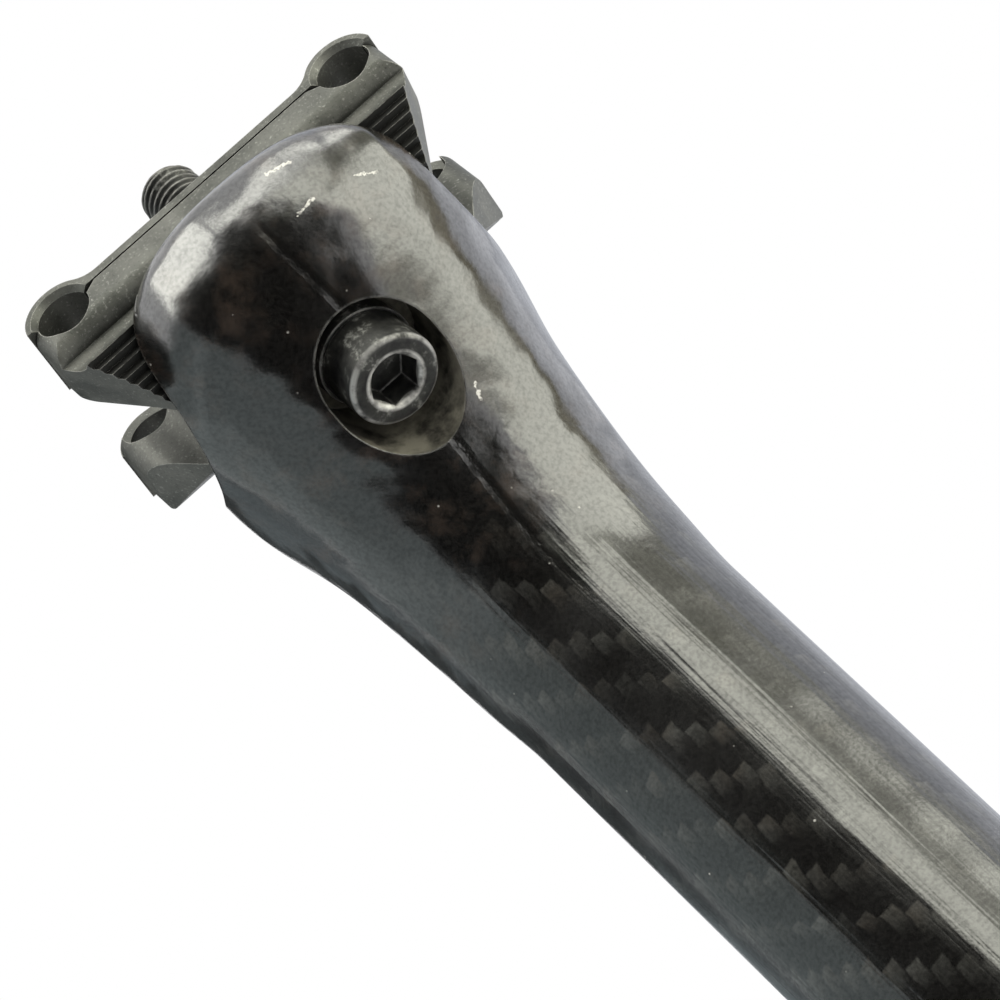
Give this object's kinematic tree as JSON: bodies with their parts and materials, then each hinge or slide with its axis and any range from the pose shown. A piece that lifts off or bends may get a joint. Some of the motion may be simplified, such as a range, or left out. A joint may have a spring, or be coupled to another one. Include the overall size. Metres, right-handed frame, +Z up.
{
  "type": "bicycle seatpost",
  "caption": "Set-back carbon seatpost: round shaft flaring into a rounded head with a toothed saddle-rail clamp held by a socket screw.",
  "frame": {"origin": "middle of the shaft's cut lower end", "axes": "+Z up along the shaft, +Y forward on the bicycle, +X to the rider's right"},
  "size_m": [0.0538, 0.061, 0.3748],
  "materials": {
    "carbon": "clear-coated woven carbon, worn gloss",
    "insert_alloy": "dark anodised",
    "clamp_alloy": "bead-blasted black anodised",
    "black_steel": "black oxide, scuffed"
  },
  "bodies": {
    "post": {"post": "carbon", "seat_insert": "insert_alloy"},
    "clamp": {"lower_cradle": "clamp_alloy", "upper_clamp": "clamp_alloy", "clamp_bolt": "black_steel", "bolt_washer": "black_steel"}
  },
  "joints": [
    {"name": "clamp_tilt", "type": "hinge", "parent": "post", "child": "clamp", "pos_m": [0, -0.021, 0.35], "axis": [1, 0, 0], "range_deg": [-4, 4]}
  ]
}
